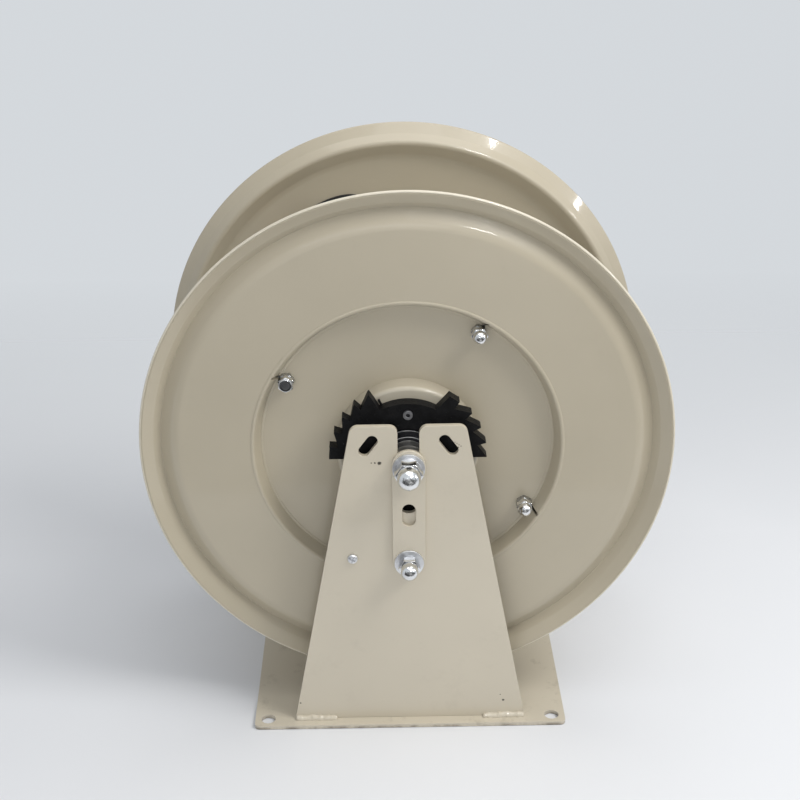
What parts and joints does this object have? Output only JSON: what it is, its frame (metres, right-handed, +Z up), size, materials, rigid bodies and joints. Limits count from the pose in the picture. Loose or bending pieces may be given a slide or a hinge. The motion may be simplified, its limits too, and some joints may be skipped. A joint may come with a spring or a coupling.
{
  "type": "fire hose reel",
  "caption": "Spring-rewind fire hose reel: an empty drum with dished flanges on a fixed spindle between two welded brackets on a bolt-down base plate.",
  "frame": {"origin": "middle of the base plate's underside, where it rests on the floor", "axes": "+Z up, +Y from the strapped front of the spindle towards the water inlet at the rear, +X to the right seen from the front"},
  "size_m": [0.48, 0.355, 0.5125],
  "materials": {
    "paint": "gloss",
    "hub_paint": "gloss",
    "zinc": "bright",
    "shaft_steel": "oiled",
    "black_steel": "satin",
    "brass": "machined",
    "rubber": "matt"
  },
  "bodies": {
    "frame": {"base_plate": "paint", "front_bracket": "paint", "rear_bracket": "paint", "bracket_welds": "paint", "main_shaft": "shaft_steel", "clamp_strap": "paint", "shaft_washer": "zinc", "shaft_spring_washer": "zinc", "shaft_dome_nut": "zinc", "strap_bolt": "zinc", "strap_washer": "zinc", "strap_spring_washer": "zinc", "strap_dome_nut": "zinc", "front_collar": "black_steel", "collar_set_screw": "black_steel", "spring_arbor": "shaft_steel", "arbor_key": "shaft_steel", "arbor_collar": "shaft_steel", "swivel_thrust_washer": "shaft_steel", "swivel_circlip": "shaft_steel", "rear_washer": "zinc", "rear_lock_nut": "zinc", "pawl_screw": "zinc", "pawl_sleeve": "zinc", "pawl_washer": "zinc", "pawl_nut": "zinc", "pawl_spring": "shaft_steel", "spring_leg_pin": "zinc"},
    "pawl": {"pawl": "black_steel"},
    "drum": {"front_flange": "paint", "rear_flange": "paint", "drum_tube": "paint", "tie_rods": "zinc", "tie_washers": "zinc", "tie_nuts": "zinc", "tie_dome_nuts": "zinc", "tie_lock_nut": "zinc", "front_hub": "hub_paint", "rear_hub": "hub_paint", "rear_hub_ring": "shaft_steel", "front_bush": "black_steel", "rear_bush": "brass", "front_hub_screws": "black_steel", "rear_hub_screws": "black_steel", "ratchet_plate": "black_steel", "ratchet_screws": "shaft_steel", "spring_cover": "zinc", "spring_case": "zinc", "case_screws": "black_steel", "power_spring": "shaft_steel", "spring_anchor_pin": "zinc", "swivel_body": "brass", "swivel_screws": "black_steel", "swivel_seals": "rubber", "union_nut": "zinc", "riser_pipe": "paint", "hose_stem": "brass", "feed_grommet": "rubber"}
  },
  "joints": [
    {"name": "drum_spin", "type": "hinge", "parent": "frame", "child": "drum", "pos_m": [0, 0, 0.2725], "axis": [0, -1, 0], "continuous": true, "deforming": ["power_spring"]},
    {"name": "pawl_swing", "type": "hinge", "parent": "frame", "child": "pawl", "pos_m": [-0.051, -0.1275, 0.18], "axis": [0, -1, 0], "range_deg": [0, 12], "deforming": ["pawl_spring"]}
  ]
}
